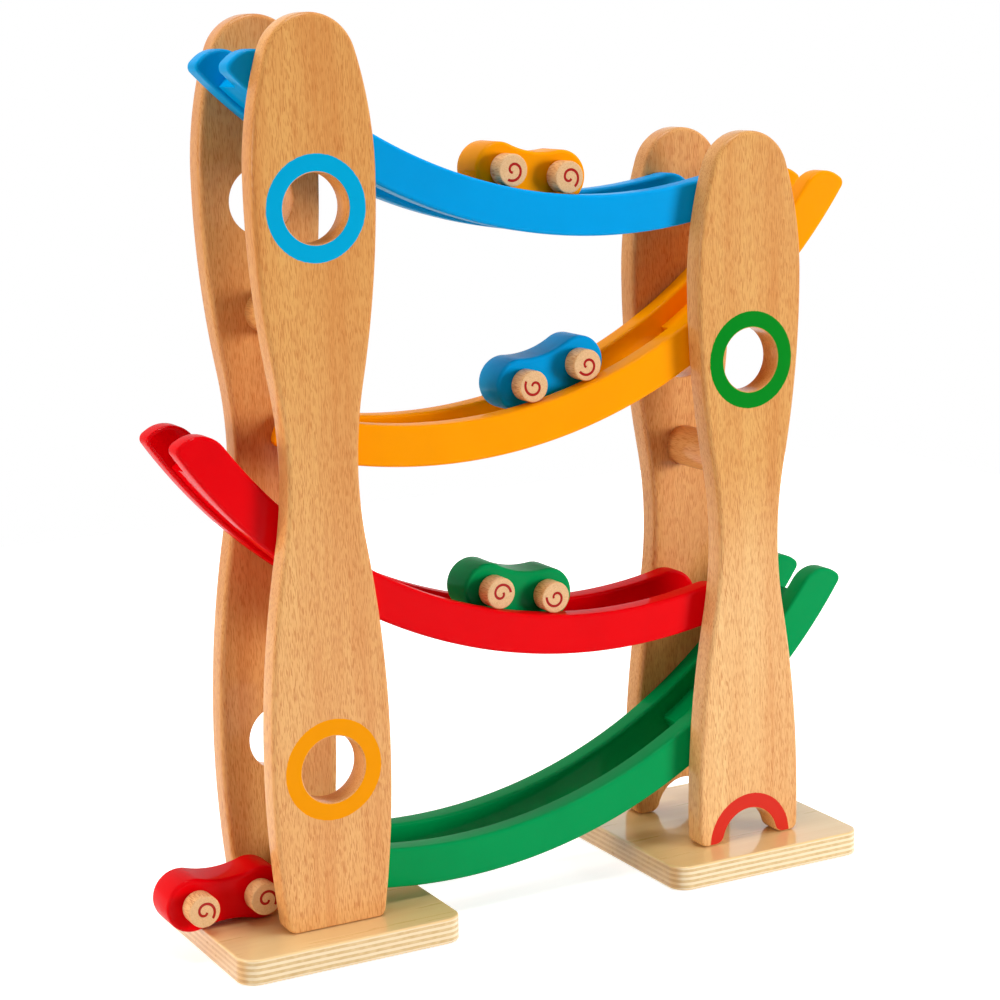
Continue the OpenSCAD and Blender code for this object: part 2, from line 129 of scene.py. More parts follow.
def board_arrays(outline, thick, ease, bores=(), share=1.0):
    """Points and faces of a board: a rounded edge carried round the outline, a profile turned in each bore, and flat
    faces filled between them. Axes are the outline's two and the depth. A bore is (centre, profile). share is the
    part of the rounding that each point of the outline gets."""
    edge = rounded_edge(thick, ease)
    sheets = [np.stack([inset(outline, i * share) for i, _ in edge])]
    depths = [edge[:, 1]]
    turn = np.radians(np.arange(0, 360, BORE_STEP))
    circle = np.stack([np.cos(turn), np.sin(turn)], 1)
    for centre, profile in bores:
        sheets.append(np.asarray(centre) + profile[:, :1, None] * circle)
        depths.append(profile[:, 1])
    points, faces, start = [], [], 0
    low, high = [], []
    for number, (sheet, depth) in enumerate(zip(sheets, depths)):
        rings, count = sheet.shape[:2]
        z = np.broadcast_to(depth[:, None, None], (rings, count, 1))
        points.append(np.concatenate([sheet, z], 2).reshape(-1, 3))
        faces += ring_faces(rings, count, start, inward=number > 0).tolist()
        low.append(start + np.arange(count))
        high.append(start + (rings - 1) * count + np.arange(count))
        start += rings * count
    points = np.vstack(points)
    for loops, down in ((low, True), (high, False)):
        faces += fill(points, loops, down)
    return points, faces


def fill(points, loops, down):
    """Triangles of the flat region between an outer loop and the loops inside it, facing down or up. A triangle with
    all its corners on one inner loop lies in that hole, and is left out."""
    index = np.concatenate(loops)
    owner = np.concatenate([np.full(len(loop), number) for number, loop in enumerate(loops)])
    starts = loop_starts(loops)
    first = np.concatenate([np.arange(len(loop)) + at for loop, at in zip(loops, starts)])
    second = np.concatenate([np.roll(np.arange(len(loop)), -1) + at for loop, at in zip(loops, starts)])
    flat = [Vector(p) for p in points[index, :2].tolist()]
    edges = np.stack([first, second], 1).tolist()
    _, _, triangles, origin, _, _ = delaunay_2d_cdt(flat, edges, [], 1, TINY)
    names = np.array([o[0] for o in origin])[np.array(triangles)]
    owners = owner[names]
    in_hole = (owners == owners[:, :1]).all(1) & (owners[:, 0] > 0)
    kept = index[names[~in_hole]]
    return (kept[:, ::-1] if down else kept).tolist()


def loop_starts(loops):
    """Place of each loop's first point when the loops are laid end to end."""
    return np.cumsum([0] + [len(loop) for loop in loops[:-1]])


def add_piece(name, points, faces, material, body, nodes):
    """A smooth mesh object at the origin that rides on a body and stands for CAD nodes. Points in millimetres."""
    mesh = bpy.data.meshes.new(name)
    mesh.from_pydata((np.asarray(points) * MM).tolist(), [], faces)
    mesh.polygons.foreach_set("use_smooth", np.ones(len(mesh.polygons), bool))
    mesh.set_sharp_from_angle(angle=radians(SHARP_DEG))
    mesh.update()
    mesh.validate()
    piece = bpy.data.objects.new(name, mesh)
    bpy.context.scene.collection.objects.link(piece)
    mesh.materials.append(material)
    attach(piece, body)
    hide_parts(*nodes)
    return piece


def upright(points, faces, y):
    """A board's points stood up in the X-Z plane, its depth along +Y from y, and its faces turned to match."""
    points = np.stack([points[:, 0], y + points[:, 2], points[:, 1]], 1)
    return points, [face[::-1] for face in faces]


# Outlines


def radii_sum(height, step):
    """Sum of the radii of two arcs that run into each other over this height and step in width."""
    return (height**2 + step**2) / (2 * step)


def panel_outline(h):
    """Tower side about the middle of its foot: crown, flank, shoulder, waist, hip and corner arcs, each running
    into the next, down the right edge, and the same mirrored on the left edge."""
    rise = HEAD_H - CROWN_R
    flank_r = (BELLY**2 + rise**2 - CROWN_R**2) / (2 * (BELLY - CROWN_R))
    crown_deg = degrees(atan2(rise, flank_r - BELLY))
    upper_h, lower_h = WAIST_DROP - HEAD_H, HIP_DROP - WAIST_DROP
    shoulder_r = radii_sum(upper_h, BELLY - WAIST) - WAIST_R
    hip_r = radii_sum(lower_h, BELLY - WAIST) - WAIST_R
    shoulder_deg = degrees(asin(upper_h / (shoulder_r + WAIST_R)))
    hip_deg = degrees(asin(lower_h / (hip_r + WAIST_R)))
    hip = np.array([BELLY - hip_r, h - HIP_DROP])
    corner = np.array([hip[0] + sqrt((hip_r - FOOT_R) ** 2 - (FOOT_R - hip[1]) ** 2), FOOT_R])
    corner_deg = degrees(atan2(FOOT_R - hip[1], corner[0] - hip[0]))
    right = np.vstack([
        arc([0, h - CROWN_R], CROWN_R, 90, crown_deg, 24),
        arc([BELLY - flank_r, h - HEAD_H], flank_r, crown_deg, 0, 16),
        arc([BELLY - shoulder_r, h - HEAD_H], shoulder_r, 0, -shoulder_deg, 14),
        arc([WAIST + WAIST_R, h - WAIST_DROP], WAIST_R, 180 - shoulder_deg, 180 + hip_deg, 24),
        arc(hip, hip_r, hip_deg, corner_deg, 18),
        arc(corner, FOOT_R, corner_deg, -90, 10),
    ])
    return distinct(np.vstack([right * [-1, 1], right[::-1]]))


FOOT_SHARE, ARCH_SHARE = 0.4, 0.36  # parts of the tower sides' rounding that the foot and the arch's rim have
ARCH_STEPS, ARCH_CORNER_STEPS = 48, 12


def foot_share(outline):
    """Share of the edge's rounding that each point of a tower side gets: all of it above the lower corners, and
    less down to the foot."""
    return FOOT_SHARE + (1 - FOOT_SHARE) * np.clip(outline[:, 1] / FOOT_R, 0, 1)


def arched(outline, r):
    """The outline with a half-round arch cut into its straight foot, which runs along its second axis at 0, and the
    share of the edge's rounding that each point gets."""
    lowest = np.flatnonzero(outline[:, 1] < TINY)
    split = lowest[outline[lowest, 0] < 0].max() + 1
    reach = sqrt((r + ARCH_CORNER_R) ** 2 - ARCH_CORNER_R**2)
    corner_deg = degrees(asin(ARCH_CORNER_R / (r + ARCH_CORNER_R)))
    arch = np.vstack([
        arc([-reach, ARCH_CORNER_R], ARCH_CORNER_R, -90, -corner_deg, ARCH_CORNER_STEPS),
        arc([0, 0], r, 180 - corner_deg, corner_deg, ARCH_STEPS)[1:-1],
        arc([reach, ARCH_CORNER_R], ARCH_CORNER_R, 180 + corner_deg, 270, ARCH_CORNER_STEPS),
    ])
    less = np.linspace(FOOT_SHARE, ARCH_SHARE, ARCH_CORNER_STEPS + 1)
    rim = np.full(ARCH_STEPS - 1, ARCH_SHARE)
    share = foot_share(outline)
    share = np.concatenate([share[:split], less, rim, less[::-1], share[split:]])
    return np.vstack([outline[:split], arch, outline[split:]]), share


def car_outline():
    """Peanut of a car body about the middle between its axles: two lobe arcs and two hollow arcs between them."""
    hollow_r = (LOBE_REACH**2 + CAR_WAIST**2 - LOBE_R**2) / (2 * (LOBE_R - CAR_WAIST))
    lobe_deg = degrees(atan2(CAR_WAIST + hollow_r, -LOBE_REACH))
    half = np.vstack([
        arc([LOBE_REACH, 0], LOBE_R, -lobe_deg, lobe_deg, 56),
        arc([0, CAR_WAIST + hollow_r], hollow_r, lobe_deg - 180, -lobe_deg, 16),
    ])
    return distinct(np.vstack([half, -half]))


def high_side(ramp):
    """1 where the ramp's upper end lies to the right, -1 where it lies to the left."""
    return 1 if RAMPS.index(ramp) % 2 == 0 else -1


def ramp_centre(ramp):
    """Middle of a ramp's arc as (x, z), above its lowest point."""
    x = LOW_POINT_DX if high_side(ramp) > 0 else FAR_DX
    return np.array([x, FIRST_RUN_Z + RAMPS.index(ramp) * RAMP_PITCH + RUN_R])


def deg_at(dx):
    """Angle from a ramp's lowest point to a point of its middle line this far off in X."""
    return degrees(asin(dx / RAIL_MID_R))


def high_dx(ramp):
    """Distance in X from a ramp's lowest point to its upper end."""
    return FAR_DX + (TOP_END_OUT if ramp == "blue" else HIGH_END_OUT)


def rail_end(end):
    """End of a rail about the ramp's centre, from its upper corner arc round to its lower corner arc. Angles from
    straight down; each corner's centre lies where its circle touches the run or the underside, and the end line."""
    top_c, low_c = RUN_R + END_TOP_R, RAIL_R - END_BOTTOM_R
    top_deg = end - degrees(asin(END_TOP_R / top_c))
    low_deg = end - degrees(asin(END_BOTTOM_R / low_c))
    top = top_c * np.array([sin(radians(top_deg)), -cos(radians(top_deg))])
    low = low_c * np.array([sin(radians(low_deg)), -cos(radians(low_deg))])
    upper = arc(top, END_TOP_R, top_deg + 90, end, 10)
    lower = arc(low, END_BOTTOM_R, end, low_deg - 90, 10)
    return np.vstack([upper, lower]), top_deg, low_deg


def rail_outline(ramp):
    """A rail about the ramp's centre: underside arc, upper end, run arc and lower end, counter-clockwise."""
    high, high_top, high_low = rail_end(deg_at(high_dx(ramp)))
    low, low_top, low_low = rail_end(deg_at(LOW_POINT_DX - LOW_END_SHORT))
    under = arc([0, 0], RAIL_R, -90 - low_low, -90 + high_low, 72)
    run = arc([0, 0], RUN_R, -90 + high_top, -90 - low_top, 72)
    outline = distinct(np.vstack([under, high[::-1], run, low * [-1, 1]]))
    return outline if high_side(ramp) > 0 else outline[::-1] * [-1, 1]


def strip_outline(ramp):
    """The strip between two rails: a band of the ramp's rings from its near end to its far end."""
    top_r = RUN_R + STRIP_DROP
    near = deg_at(FAR_DX - STRIP_IN) - 90
    far = deg_at(high_dx(ramp) - STRIP_SETBACK) - 90
    outline = np.vstack([arc([0, 0], top_r + STRIP_T, near, far, 40), arc([0, 0], top_r, far, near, 40)])
    return outline if high_side(ramp) > 0 else outline[::-1] * [-1, 1]


def plate_outline(w, r):
    """Square of side w with corner arcs of radius r, about its middle."""
    c = w / 2 - r
    corners = (([c, c], 0), ([-c, c], 90), ([-c, -c], 180), ([c, -c], 270))
    return distinct(np.vstack([arc(centre, r, start, start + 90, 14) for centre, start in corners]))


# Materials


def linear(r, g, b):
    """A display colour given in 0 to 255 as the linear colour that a shader takes."""
    c = np.array([r, g, b]) / 255
    return tuple(np.where(c <= 0.04045, c / 12.92, ((c + 0.055) / 1.055) ** 2.4).tolist()) + (1.0,)


class Finish:
    """A node material under construction. A method adds nodes and returns the socket they give, or else it sets or
    links a socket of the shader."""

    def __init__(self, name):
        self.material = bpy.data.materials.new(name)
        self.material.use_nodes = True
        self.tree = self.material.node_tree
        self.shader = self.tree.nodes["Principled BSDF"]
        self.place = self.add("ShaderNodeTexCoord").outputs["Object"]

    def add(self, kind, inputs=None, **settings):
        """A new node with these settings, and with each input linked to a socket or set to a value."""
        node = self.tree.nodes.new(kind)
        for key, value in settings.items():
            setattr(node, key, value)
        for key, value in (inputs or {}).items():
            if isinstance(value, bpy.types.NodeSocket):
                self.tree.links.new(value, node.inputs[key])
            else:
                node.inputs[key].default_value = value
        return node

    def math(self, operation, a, b=0.0, clamp=False):
        return self.add("ShaderNodeMath", {0: a, 1: b}, operation=operation, use_clamp=clamp).outputs[0]

    def scaled(self, place, scale):
        return self.add("ShaderNodeMapping", {"Vector": place, "Scale": scale}).outputs[0]

    def noise(self, place, scale, detail=3.0, roughness=0.5):
        inputs = {"Vector": place, "Scale": scale, "Detail": detail, "Roughness": roughness}
        return self.add("ShaderNodeTexNoise", inputs).outputs["Fac"]

    def span(self, value, low, high, to_low=0.0, to_high=1.0, kind="SMOOTHSTEP"):
        """The value's range from low to high laid onto another range, and held at its ends."""
        inputs = {"Value": value, "From Min": low, "From Max": high, "To Min": to_low, "To Max": to_high}
        return self.add("ShaderNodeMapRange", inputs, interpolation_type=kind).outputs["Result"]

    def mix(self, factor, a, b, blend="MIX"):
        """Colour a where the factor is 0, and b, or b blended with a, where it is 1. The numbers are those of the
        node's colour sockets."""
        inputs = {0: factor, 6: a, 7: b}
        return self.add("ShaderNodeMix", inputs, data_type="RGBA", blend_type=blend).outputs[2]

    def axis(self, place, name):
        return self.add("ShaderNodeSeparateXYZ", {"Vector": place}).outputs[name]

    def colour(self, value):
        self.tree.links.new(value, self.shader.inputs["Base Color"])

    def roughness(self, value):
        self.tree.links.new(value, self.shader.inputs["Roughness"])

    def coat(self, value):
        self.tree.links.new(value, self.shader.inputs["Coat Weight"])

    def fixed(self, values):
        """Sets what is the same all over the surface on the shader's own sockets."""
        for key, value in values.items():
            self.shader.inputs[key].default_value = value

    def bump(self, height, strength, distance):
        """Lets a height tilt the surface's normals."""
        node = self.add("ShaderNodeBump", {"Height": height, "Strength": strength, "Distance": distance})
        self.tree.links.new(node.outputs["Normal"], self.shader.inputs["Normal"])

    def distance_xz(self, x, z):
        """Distance of a point from the line along Y through (x, z), in metres."""
        off = self.add("ShaderNodeVectorMath", {0: self.place, 1: (x * MM, 0, z * MM)}, operation="SUBTRACT").outputs[0]
        flat = self.add("ShaderNodeVectorMath", {0: off, 1: (1, 0, 1)}, operation="MULTIPLY").outputs[0]
        return self.add("ShaderNodeVectorMath", {0: flat}, operation="LENGTH").outputs["Value"]


DRAWN_OUT = 0.055  # scale along the grain against that across it
GRAIN = {"X": (DRAWN_OUT, 1, 1), "Y": (1, DRAWN_OUT, 1), "Z": (1, 1, DRAWN_OUT)}
NOISE_MID = (0.3, 0.7)  # the range that most of a noise lies in
FLECK_ACROSS, FLECK_ALONG, FLECK_LEAN = 3500.0, 240.0, 0.03
FLECK_PEAK, FLECK_DEPTH, FLECK_PATCH = (0.53, 0.63), (0.46, 0.66), 0.12
SWAY, SWAY_SCALE = 0.014, 22.0
STREAK_SCALE, SLOW_SCALE, GROWTH_SCALE = 420.0, 34.0, 16.0
STREAK_PART, SLOW_PART, GROWTH_PART = 0.34, 0.42, 0.24
GRAIN_DEPTH = 0.0002  # metres that the bump of any wood's surface spans


def flecks(finish, place, along):
    """Mask of the short dark dashes of beech's rays: the peaks of a fine noise that leans a little and is drawn out
    along the grain, deeper in some patches than in others."""
    lean = finish.add("ShaderNodeMapping", {"Vector": place, "Rotation": (FLECK_LEAN, FLECK_LEAN, 0)}).outputs[0]
    drawn = finish.scaled(lean, [FLECK_ALONG if name == along else FLECK_ACROSS for name in "XYZ"])
    dash = finish.span(finish.noise(drawn, 1.0, 0.0), *FLECK_PEAK)
    patch = finish.span(finish.noise(drawn, FLECK_PATCH, 2.0), *NOISE_MID, *FLECK_DEPTH)
    return finish.math("MULTIPLY", dash, patch)


def beech_layers(finish, along, light, dark, fleck):
    """Beech as base colour, fleck mask and streak: slow streaks and growth bands drawn out along the grain, and the
    short dark dashes of its rays."""
    sway = finish.noise(finish.scaled(finish.place, GRAIN[along]), SWAY_SCALE, 2.0)
    warp = finish.add("ShaderNodeVectorMath", {0: (SWAY, SWAY, SWAY), 3: sway}, operation="SCALE").outputs[0]
    place = finish.add("ShaderNodeVectorMath", {0: finish.place, 1: warp}, operation="ADD").outputs[0]
    drawn = finish.scaled(place, GRAIN[along])
    streak = finish.noise(drawn, STREAK_SCALE, 5.0, 0.6)
    slow = finish.noise(drawn, SLOW_SCALE, 2.0)
    growth = {"Vector": drawn, "Scale": GROWTH_SCALE, "Distortion": 6.0, "Detail": 2.0}
    growth = finish.add("ShaderNodeTexWave", growth, wave_type="RINGS", rings_direction="Y").outputs["Fac"]
    tone = finish.math("MULTIPLY", finish.span(streak, *NOISE_MID), STREAK_PART)
    tone = finish.math("ADD", tone, finish.math("MULTIPLY", finish.span(slow, *NOISE_MID), SLOW_PART))
    growth = finish.math("MULTIPLY", finish.span(growth, 0.5, 1.0), GROWTH_PART)
    tone = finish.math("ADD", tone, growth, clamp=True)
    base = finish.mix(tone, light, dark)
    dash = flecks(finish, place, along)
    return finish.mix(dash, base, fleck), dash, streak


LACQUER_COAT, BAND_COAT = 0.5, 0.08
LACQUER_SHINE = {
    "Specular IOR Level": 0.05, "Coat Weight": LACQUER_COAT, "Coat IOR": 1.35, "Coat Roughness": 0.13,
}


def lacquer(finish, dash, streak, rough):
    """Satin lacquer over wood: roughness follows the streaks, and the flecks stand a little below the surface."""
    finish.roughness(finish.span(streak, 0.2, 0.8, rough - 0.06, rough + 0.08, "LINEAR"))
    height = finish.math("SUBTRACT", finish.math("MULTIPLY", streak, 0.5), dash)
    finish.bump(height, 0.1, GRAIN_DEPTH)
    finish.fixed(LACQUER_SHINE)


BEECH_LIGHT, BEECH_DARK = linear(228, 172, 106), linear(210, 140, 79)
BEECH_FLECK = linear(184, 104, 48)
BEECH_ROUGH, WHEEL_ROUGH = 0.4, 0.42
BAND_SOFT = 0.12  # millimetres to either side of a band's edge in which it fades, and the depth of its paint
BAND_UNEVEN = 0.5  # millimetres between the furthest in and out that a band's edge wanders


def darker(paint, share):
    """A linear colour with its three parts cut down to this share."""
    return tuple(share * c for c in paint[:3]) + (1.0,)


def paint_bands(finish, colour, rings):
    """The colour with painted bands laid over it on the outer faces of the tower sides, and the share of bare wood."""
    uneven = finish.math("SUBTRACT", finish.noise(finish.place, 700.0), 0.5)
    uneven = finish.math("MULTIPLY", uneven, BAND_UNEVEN * MM)
    outer = finish.math("ABSOLUTE", finish.axis(finish.place, "Y"))
    outer_y = INNER_Y + PANEL_T
    outer = finish.span(outer, (outer_y - BAND_SOFT) * MM, (outer_y - BAND_SOFT / 2) * MM)
    cover = finish.noise(finish.place, 160.0, 3.0)
    bare = 1.0
    for x, z, r, paint in rings:
        reach = finish.math("ADD", finish.distance_xz(x, z), uneven)
        inside = finish.span(reach, (r - BAND_SOFT) * MM, (r + BAND_SOFT) * MM, 1.0, 0.0)
        inside = finish.math("MULTIPLY", inside, outer)
        shade = finish.mix(finish.math("MULTIPLY", cover, 0.2), paint, darker(paint, 0.85))
        colour = finish.mix(inside, colour, shade)
        bare = finish.math("SUBTRACT", bare, inside)
    return colour, bare


def beech(name, along, rings=(), tone=None):
    """Lacquered beech with its grain along one axis. rings are painted bands (x, z, outer radius, colour), which have
    less lacquer. tone is painted light: a tint at the board's foot and at its top, with the heights between which one
    turns into the other, that makes the board paler towards its foot as a light from low in front would."""
    finish = Finish(name)
    colour, dash, streak = beech_layers(finish, along, BEECH_LIGHT, BEECH_DARK, BEECH_FLECK)
    # Painted light: the front boards are tinted paler and bluer towards the foot, as a light from low in front would
    # show them.
    if tone:
        foot, top, low, high = tone
        tint = finish.mix(finish.span(finish.axis(finish.place, "Z"), low * MM, high * MM), foot, top)
        colour = finish.mix(1.0, colour, tint, "MULTIPLY")
    lacquer(finish, dash, streak, BEECH_ROUGH)
    if rings:
        colour, bare = paint_bands(finish, colour, rings)
        finish.coat(finish.span(bare, 0.0, 1.0, BAND_COAT, LACQUER_COAT, "LINEAR"))
    finish.colour(colour)
    return finish.material


PAINT_SHINE = {"Specular IOR Level": 0.0, "Coat Weight": 0.35, "Coat IOR": 1.25, "Coat Roughness": 0.09}


def painted(name, paint):
    """Satin paint on smoothed wood: a little unevenness in colour, and the wood's grain faint under it."""
    finish = Finish(name)
    cloud = finish.noise(finish.place, 38.0, 4.0)
    speck = finish.noise(finish.place, 900.0, 2.0)
    finish.colour(finish.mix(finish.span(cloud, 0.35, 0.75, 0.0, 0.25), paint, darker(paint, 0.82)))
    finish.roughness(finish.span(cloud, *NOISE_MID, 0.2, 0.26, "LINEAR"))
    grain = finish.noise(finish.scaled(finish.place, (0.25, 1, 0.6)), 420.0, 3.0)
    finish.bump(finish.math("ADD", grain, finish.math("MULTIPLY", speck, 0.4)), 0.12, GRAIN_DEPTH)
    finish.fixed(PAINT_SHINE)
    return finish.material


PLIES = 9
VENEER_T, VENEER_SOFT = 0.6, 0.2  # millimetres of the outer veneer on a base's edges, and of its fade
CROSS_FROM, CROSS_TO = 4.0, 1.0  # millimetres inside the cross sides between which their tint grows
PLY_WANDER = 0.4  # millimetres between the highest and the lowest that a glue line wanders
VENEER_LIGHT, VENEER_DARK, VENEER_STREAK = linear(244, 214, 158), linear(235, 198, 136), linear(228, 188, 132)
LONG_PLY_LIGHT, LONG_PLY_DARK = linear(244, 226, 192), linear(238, 214, 170)
END_PLY_LIGHT, END_PLY_DARK = linear(226, 196, 142), linear(211, 176, 118)
GLUE_LINE, CROSS_SIDE = linear(200, 156, 104), linear(238, 210, 166)
PLYWOOD_SHINE = {"Specular IOR Level": 0.3, "Coat Weight": 0.9, "Coat Roughness": 0.06}


def plywood(name, middle_x):
    """Birch plywood: a pale veneer with fine grain along X, and plies that take turns between long grain and end
    grain, with a thin dark glue line between them. Ply number = z / (thickness / plies). The two sides across X show
    warmer end grain."""
    finish = Finish(name)
    drawn = finish.scaled(finish.place, GRAIN["X"])
    streak = finish.noise(drawn, 300.0, 5.0, 0.6)
    slow = finish.noise(drawn, 40.0, 3.0)
    veneer = finish.mix(finish.span(slow, *NOISE_MID), VENEER_LIGHT, VENEER_DARK)
    veneer = finish.mix(finish.span(streak, 0.5, 0.75, 0.0, 0.3), veneer, VENEER_STREAK)
    z = finish.axis(finish.place, "Z")
    wander = finish.math("SUBTRACT", finish.noise(finish.place, 60.0), 0.5)
    wander = finish.math("MULTIPLY", wander, PLY_WANDER * MM)
    ply = finish.math("DIVIDE", finish.math("ADD", z, wander), BASE_T / PLIES * MM)
    part = finish.math("FRACT", ply)
    turn = finish.math("FLOORED_MODULO", finish.math("FLOOR", ply), 2.0)
    end = finish.noise(finish.scaled(finish.place, (0.3, 0.3, 0.6)), 900.0, 3.0)
    long_ply = finish.mix(finish.noise(drawn, 500.0), LONG_PLY_LIGHT, LONG_PLY_DARK)
    end_ply = finish.mix(finish.span(end, *NOISE_MID), END_PLY_LIGHT, END_PLY_DARK)
    sides = finish.mix(turn, long_ply, end_ply)
    glue = finish.math("ABSOLUTE", finish.math("SUBTRACT", part, 0.5))
    sides = finish.mix(finish.span(glue, 0.44, 0.5, 0.0, 0.3), sides, GLUE_LINE)
    off = finish.math("ABSOLUTE", finish.math("SUBTRACT", finish.axis(finish.place, "X"), middle_x * MM))
    across = finish.span(off, (BASE_SIDE / 2 - CROSS_FROM) * MM, (BASE_SIDE / 2 - CROSS_TO) * MM)
    sides = finish.mix(across, sides, CROSS_SIDE, "MULTIPLY")
    inner = VENEER_T + VENEER_SOFT
    low = finish.span(z, VENEER_T * MM, inner * MM)
    high = finish.span(z, (BASE_T - inner) * MM, (BASE_T - VENEER_T) * MM, 1.0, 0.0)
    edge = finish.math("MULTIPLY", low, high)
    finish.colour(finish.mix(edge, veneer, sides))
    finish.roughness(finish.span(streak, 0.2, 0.8, 0.24, 0.36, "LINEAR"))
    finish.bump(finish.math("ADD", streak, finish.math("MULTIPLY", glue, edge)), 0.06, GRAIN_DEPTH)
    finish.fixed(PLYWOOD_SHINE)
    return finish.material


SPIRAL_START_R, SPIRAL_PITCH, SPIRAL_TURNS, SPIRAL_STROKE = 1.0, 3.8, 1.06, 1.3
SPIRAL_START_TURN, SPIRAL_SOFT = 0.33, 0.06
SPIRAL_RED = linear(166, 16, 14)
WHEEL_LIGHT, WHEEL_DARK = linear(244, 200, 146), linear(230, 174, 112)
END_GRAIN_LIGHT, END_GRAIN_DARK = linear(230, 190, 144), linear(212, 167, 120)


def wheel_beech(name):
    """Turned beech with one painted curl on the outer end. The map gives polar places about the end's middle. The
    curl is r = start + pitch t for t turns clockwise. The stroke lies near the curl, counted in whole turns."""
    finish = Finish(name)
    colour, dash, streak = beech_layers(finish, "Y", WHEEL_LIGHT, WHEEL_DARK, BEECH_FLECK)
    face = finish.add("ShaderNodeUVMap", uv_map="face").outputs["UV"]
    off = finish.add("ShaderNodeVectorMath", {0: face, 1: (0.5, 0.5, 0)}, operation="SUBTRACT").outputs[0]
    reach = finish.add("ShaderNodeVectorMath", {0: off}, operation="LENGTH").outputs["Value"]
    reach = finish.math("MULTIPLY", reach, 2 * WHEEL_R)
    pores = finish.noise(finish.place, 2600.0, 2.0)
    end_grain = finish.mix(finish.span(pores, 0.35, 0.7), END_GRAIN_LIGHT, END_GRAIN_DARK)
    on_end = finish.span(reach, WHEEL_R - 0.6, WHEEL_R - 0.2, 0.85, 0.0)
    colour = finish.mix(on_end, colour, end_grain)
    angle = finish.math("ARCTAN2", finish.axis(off, "Y"), finish.axis(off, "X"))
    clockwise = finish.math("SUBTRACT", -SPIRAL_START_TURN, finish.math("DIVIDE", angle, 2 * pi))
    turns = finish.math("DIVIDE", finish.math("SUBTRACT", reach, SPIRAL_START_R), SPIRAL_PITCH)
    whole = finish.math("ROUND", finish.math("SUBTRACT", turns, clockwise))
    along = finish.math("ADD", clockwise, whole)
    apart = finish.math("MULTIPLY", finish.math("ABSOLUTE", finish.math("SUBTRACT", turns, along)), SPIRAL_PITCH)
    half = SPIRAL_STROKE / 2
    stroke = finish.span(apart, half - SPIRAL_SOFT, half + SPIRAL_SOFT, 1.0, 0.0)
    start = finish.span(along, -0.01, 0.01)
    stop = finish.span(along, SPIRAL_TURNS - 0.004, SPIRAL_TURNS + 0.004, 1.0, 0.0)
    stroke = finish.math("MULTIPLY", stroke, finish.math("MULTIPLY", start, stop))
    finish.colour(finish.mix(stroke, colour, SPIRAL_RED))
    lacquer(finish, dash, streak, WHEEL_ROUGH)
    return finish.material


STEEL_LIGHT, STEEL_DARK = (0.62, 0.62, 0.64, 1), (0.5, 0.5, 0.52, 1)


def steel(name):
    """Bright drawn steel with fine lines along the pin."""
    finish = Finish(name)
    lines = finish.noise(finish.scaled(finish.place, (1, 0.02, 1)), 4000.0, 2.0)
    finish.colour(finish.mix(lines, STEEL_LIGHT, STEEL_DARK))
    finish.roughness(finish.span(lines, 0.2, 0.8, 0.24, 0.36, "LINEAR"))
    finish.fixed({"Metallic": 1.0})
    return finish.material


PAINT = {
    "blue": linear(0, 157, 228), "yellow": linear(255, 157, 0),
    "red": linear(228, 0, 10), "green": linear(0, 150, 80),
}
BAND_BLUE, BAND_YELLOW = linear(0, 168, 218), linear(242, 152, 0)
BAND_GREEN, BAND_RED = linear(0, 130, 28), linear(211, 50, 38)
BAND_R = HOLE_R + BAND_W


def band(tower, hole, paint):
    """The painted band round one of a tower's holes."""
    return TOWER_X[tower], BASE_T + PANEL_H[tower] - HOLE_DROPS[tower][hole], BAND_R, paint


BANDS = {
    "left": [band("left", 0, BAND_BLUE), band("left", 1, BAND_YELLOW)],
    "right": [band("right", 0, BAND_GREEN), (TOWER_X["right"], BASE_T, ARCH_R + BAND_W, BAND_RED)],
}
# Painted light: tint of a front board at its foot and at its top, paler towards the foot, and the heights in
# millimetres between which it turns.
FRONT_PAINTED_LIGHT = {
    "left": ((1.10, 1.18, 1.30, 1), (1.04, 1.03, 0.88, 1), 120.0, 330.0),
    "right": ((1.14, 1.35, 1.68, 1), (1.0, 1.03, 0.94, 1), 130.0, 205.0),
}
# Each tower has a front and a back beech; only the front one carries the painted light, paler towards its foot.
BEECH_SIDE = {
    (tower, side): beech(f"beech_{tower}_{side}", "Z", BANDS[tower], FRONT_PAINTED_LIGHT[tower] if side == "front" else None)
    for tower in TOWER_X for side in ("front", "back")
}
BEECH_ROUND = beech("beech_rounds", "Y")
PLYWOOD = {tower: plywood(f"{tower}_plywood", x) for tower, x in TOWER_X.items()}
PAINTED = {name: painted(f"{name}_paint", paint) for name, paint in PAINT.items()}
WHEEL_BEECH = wheel_beech("beech_wheels")
STEEL = steel("bright_steel")


# Towers


def screw_bore():
    """Countersunk hole as (radius, height): the head's cylinder, its cone, and the shank's cylinder."""
    head, shank = SCREW_HEAD_R + SCREW_GAP, SCREW_R + SCREW_GAP
    cone_top = SCREW_RECESS + SCREW_HEAD_R - SCREW_R
    return np.array([[head, 0], [head, SCREW_RECESS], [shank, cone_top], [shank, BASE_T]])


